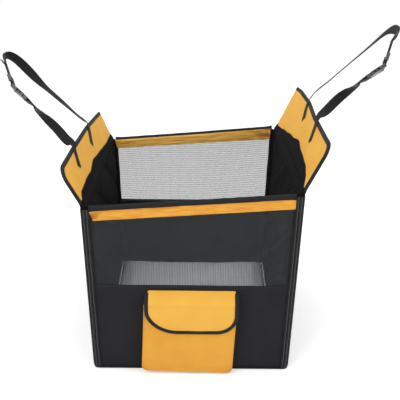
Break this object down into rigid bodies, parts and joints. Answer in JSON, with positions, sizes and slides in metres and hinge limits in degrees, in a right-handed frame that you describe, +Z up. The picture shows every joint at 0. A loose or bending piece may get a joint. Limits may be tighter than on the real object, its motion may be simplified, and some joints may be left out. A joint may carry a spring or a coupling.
{
  "type": "dog car seat",
  "caption": "Padded open-topped box seat for a pet, with mesh-windowed ends, a front pocket, and fold-over side flaps carrying buckled webbing loops that hang it on a car seat.",
  "frame": {"origin": "middle of the underside", "axes": "+X to the right seen from the pocket side, +Y from the pocket side to the back, +Z up"},
  "size_m": [1.0472, 0.6301, 0.8762],
  "materials": {
    "black_cloth": "coated woven polyester",
    "yellow_cloth": "coated woven polyester",
    "grey_pad": "soft padded cloth",
    "dark_mesh": "open woven mesh",
    "binding_tape": "ribbed edge tape",
    "webbing": "woven webbing",
    "buckle_plastic": "moulded, satin",
    "rail_plastic": "extruded tube",
    "stiff_board": "plain sheet board",
    "hook_tape": "hook and loop tape"
  },
  "bodies": {
    "seat_box": {"back_lower_panel": "black_cloth", "back_mesh_window": "dark_mesh", "back_rail_tube": "rail_plastic", "back_top_band": "yellow_cloth", "back_top_sleeve": "black_cloth", "base_board": "stiff_board", "bottom_panel": "black_cloth", "floor_pad": "grey_pad", "front_lower_panel": "black_cloth", "front_mesh_window": "dark_mesh", "front_rail_tube": "rail_plastic", "front_top_band": "yellow_cloth", "front_top_sleeve": "black_cloth", "left_back_edge": "binding_tape", "left_fold_roll": "black_cloth", "left_front_edge": "binding_tape", "left_wall_board": "stiff_board", "left_wall_cover": "black_cloth", "left_wall_lining": "black_cloth", "pocket_front": "yellow_cloth", "pocket_gusset": "yellow_cloth", "pocket_hook_patch": "hook_tape", "right_back_edge": "binding_tape", "right_fold_roll": "black_cloth", "right_front_edge": "binding_tape", "right_wall_board": "stiff_board", "right_wall_cover": "black_cloth", "right_wall_lining": "black_cloth"},
    "left_flap": {"left_flap_facing": "yellow_cloth", "left_flap_lining": "black_cloth", "left_flap_board": "stiff_board", "left_flap_backing": "black_cloth", "left_flap_binding": "binding_tape", "left_long_strap": "webbing", "left_near_strap": "webbing", "left_buckle_socket": "buckle_plastic"},
    "left_slider": {"left_strap_slider": "buckle_plastic"},
    "left_insert": {"left_buckle_insert": "buckle_plastic"},
    "left_prong_a": {"left_buckle_prong_a": "buckle_plastic"},
    "left_prong_b": {"left_buckle_prong_b": "buckle_plastic"},
    "right_flap": {"right_flap_facing": "yellow_cloth", "right_flap_lining": "black_cloth", "right_flap_board": "stiff_board", "right_flap_backing": "black_cloth", "right_flap_binding": "binding_tape", "right_long_strap": "webbing", "right_near_strap": "webbing", "right_buckle_socket": "buckle_plastic"},
    "right_slider": {"right_strap_slider": "buckle_plastic"},
    "right_insert": {"right_buckle_insert": "buckle_plastic"},
    "right_prong_a": {"right_buckle_prong_a": "buckle_plastic"},
    "right_prong_b": {"right_buckle_prong_b": "buckle_plastic"},
    "pocket_flap": {"pocket_flap": "yellow_cloth", "pocket_flap_binding": "binding_tape", "pocket_loop_patch": "hook_tape"}
  },
  "joints": [
    {"name": "left_flap_fold", "type": "hinge", "parent": "seat_box", "child": "left_flap", "pos_m": [-0.27, 0, 0.47], "axis": [0, -1, 0], "range_deg": [-60, 85]},
    {"name": "left_slider_travel", "type": "slide", "parent": "left_flap", "child": "left_slider", "axis": [-0.3748, 0.5741, 0.728], "range_m": [0, 0.03]},
    {"name": "left_buckle_release", "type": "slide", "parent": "left_flap", "child": "left_insert", "axis": [0.7429, -0.4296, -0.5134], "range_m": [0, 0.034], "deforming": ["left_near_strap"]},
    {"name": "left_prong_a_squeeze", "type": "hinge", "parent": "left_insert", "child": "left_prong_a", "pos_m": [-0.42799, -0.15258, 0.71198], "axis": [-0.6681, -0.4287, -0.6081], "range_deg": [0, 6], "stiffness_Nm_per_rad": 0.5},
    {"name": "left_prong_b_squeeze", "type": "hinge", "parent": "left_insert", "child": "left_prong_b", "pos_m": [-0.42708, -0.1351, 0.69866], "axis": [0.6681, 0.4287, 0.6081], "range_deg": [0, 6], "stiffness_Nm_per_rad": 0.5},
    {"name": "right_flap_fold", "type": "hinge", "parent": "seat_box", "child": "right_flap", "pos_m": [0.27, 0, 0.51], "axis": [0, 1, 0], "range_deg": [-60, 85]},
    {"name": "right_slider_travel", "type": "slide", "parent": "right_flap", "child": "right_slider", "axis": [0.3262, 0.4817, 0.8134], "range_m": [0, 0.03]},
    {"name": "right_buckle_release", "type": "slide", "parent": "right_flap", "child": "right_insert", "axis": [-0.8386, -0.2572, -0.4802], "range_m": [0, 0.034], "deforming": ["right_near_strap"]},
    {"name": "right_prong_a_squeeze", "type": "hinge", "parent": "right_insert", "child": "right_prong_a", "pos_m": [0.43631, -0.17604, 0.78048], "axis": [-0.5436, 0.4532, 0.7065], "range_deg": [0, 6], "stiffness_Nm_per_rad": 0.5},
    {"name": "right_prong_b_squeeze", "type": "hinge", "parent": "right_insert", "child": "right_prong_b", "pos_m": [0.4371, -0.15726, 0.76904], "axis": [0.5436, -0.4532, -0.7065], "range_deg": [0, 6], "stiffness_Nm_per_rad": 0.5},
    {"name": "pocket_flap_lift", "type": "hinge", "parent": "seat_box", "child": "pocket_flap", "pos_m": [0, -0.2985, 0.238], "axis": [-1, 0, 0], "range_deg": [0, 120]}
  ],
  "couplings": [
    {"joint": "left_prong_b_squeeze", "follows": "left_prong_a_squeeze", "ratio": 1},
    {"joint": "right_prong_b_squeeze", "follows": "right_prong_a_squeeze", "ratio": 1}
  ]
}
